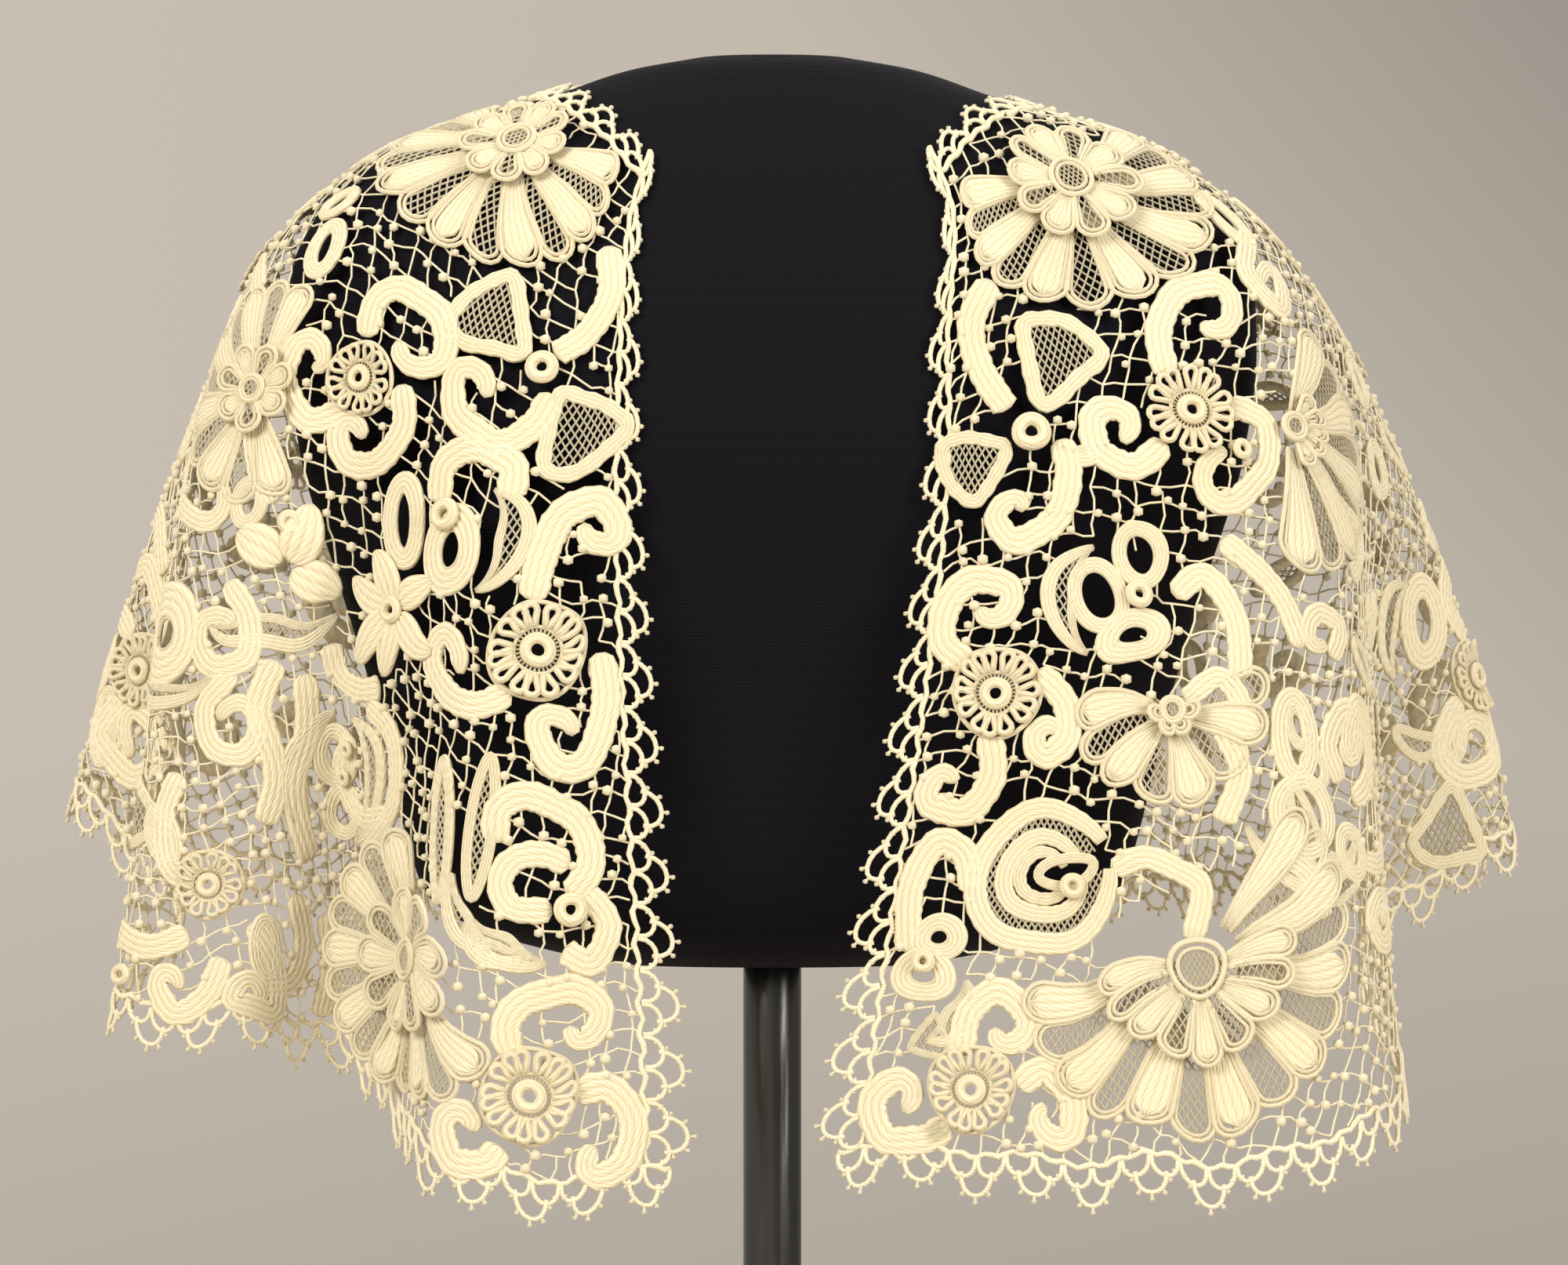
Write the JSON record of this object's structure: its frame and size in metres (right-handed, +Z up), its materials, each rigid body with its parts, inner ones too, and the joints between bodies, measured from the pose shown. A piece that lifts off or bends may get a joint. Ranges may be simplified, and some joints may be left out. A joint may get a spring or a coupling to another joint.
{
  "type": "lace collar on dress form",
  "caption": "Wide cream crochet lace cape collar with raised flowers, roses and scalloped edging, draped in folds over a black limbless dress form on a pole.",
  "frame": {"origin": "centre of the foot's underside, on the floor", "axes": "+Z up, -Y the front of the form that the picture shows, +X the viewer's right"},
  "size_m": [0.5786, 0.3233, 0.656],
  "materials": {
    "foot_steel": "dark satin steel",
    "pole_steel": "polished dark steel",
    "form_jersey": "matte black jersey",
    "cotton_net": "cream crochet cotton",
    "cotton_edging": "cream crochet cotton",
    "cotton_motif": "cream crochet cotton over padding cord"
  },
  "bodies": {
    "root": {"stand_foot": "foot_steel", "stand_pole": "pole_steel", "form_torso": "form_jersey", "ground_front_left": "cotton_net", "ground_side_left": "cotton_net", "ground_back_left": "cotton_net", "ground_back_right": "cotton_net", "ground_side_right": "cotton_net", "ground_front_right": "cotton_net", "edging_front_left": "cotton_edging", "edging_front_right": "cotton_edging", "edging_neck": "cotton_edging", "edging_hem_front_left": "cotton_edging", "edging_hem_side_left": "cotton_edging", "edging_hem_back_left": "cotton_edging", "edging_hem_back_right": "cotton_edging", "edging_hem_side_right": "cotton_edging", "edging_hem_front_right": "cotton_edging", "flower_shoulder_left": "cotton_motif", "flower_shoulder_left_upper": "cotton_motif", "flower_shoulder_right": "cotton_motif", "flower_shoulder_right_upper": "cotton_motif", "flower_side_left": "cotton_motif", "flower_side_left_upper": "cotton_motif", "flower_side_right": "cotton_motif", "flower_side_right_upper": "cotton_motif", "flower_ridge_left": "cotton_motif", "flower_ridge_left_upper": "cotton_motif", "flower_hem_right": "cotton_motif", "flower_hem_right_upper": "cotton_motif", "flower_lobes_left": "cotton_motif", "flower_lobes_left_upper": "cotton_motif", "flower_small_right": "cotton_motif", "flower_small_right_upper": "cotton_motif", "flower_shell_right": "cotton_motif", "flower_shell_right_upper": "cotton_motif", "flower_back_middle": "cotton_motif", "flower_back_middle_upper": "cotton_motif", "flower_back_left": "cotton_motif", "flower_back_left_upper": "cotton_motif", "flower_back_right": "cotton_motif", "flower_back_right_upper": "cotton_motif", "rose_1_left": "cotton_motif", "rose_2_left": "cotton_motif", "rose_3_left": "cotton_motif", "rose_4_right": "cotton_motif", "rose_5_right": "cotton_motif", "rose_6_right": "cotton_motif", "rose_back_left": "cotton_motif", "rose_back_right": "cotton_motif", "pod_1_left": "cotton_motif", "pod_2_left": "cotton_motif", "pod_3_left": "cotton_motif", "pod_4_left": "cotton_motif", "pod_5_right": "cotton_motif", "pod_6_right": "cotton_motif", "pod_7_right": "cotton_motif", "pod_8_right": "cotton_motif", "pod_9_right": "cotton_motif", "pod_10_left": "cotton_motif"}
  },
  "joints": []
}
